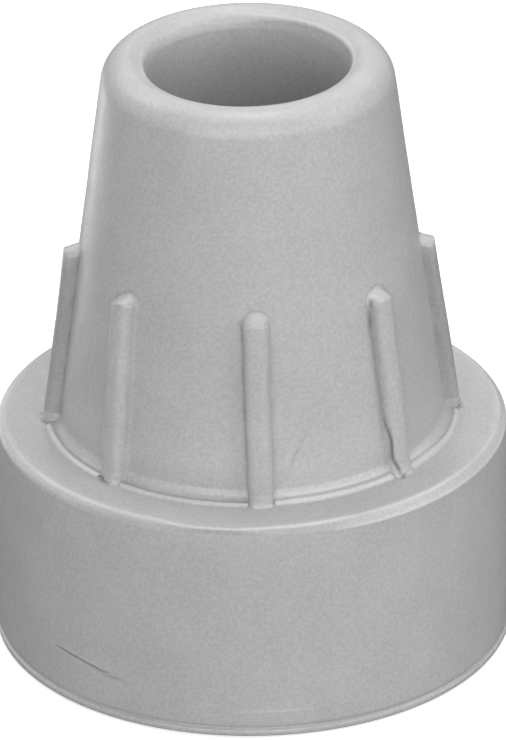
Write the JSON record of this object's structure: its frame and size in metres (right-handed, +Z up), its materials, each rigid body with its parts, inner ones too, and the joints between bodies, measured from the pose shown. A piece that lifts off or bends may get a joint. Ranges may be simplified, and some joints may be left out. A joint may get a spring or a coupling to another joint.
{
  "type": "rubber cane tip",
  "caption": "Flared rubber tip for a walking cane: wide round foot, tapered ribbed neck and a blind round socket for the shaft.",
  "frame": {"origin": "centre of the sole, on the surface that the tip stands on", "axes": "+Z up along the axis of the socket and the cane; -Y is the side that faces the front, with one rib about 2 degrees to the right of it"},
  "size_m": [0.049, 0.049, 0.0586],
  "materials": {
    "rubber": "light grey moulded rubber, satin-matt"
  },
  "bodies": {
    "root": {"cane_tip": "rubber"}
  },
  "joints": []
}
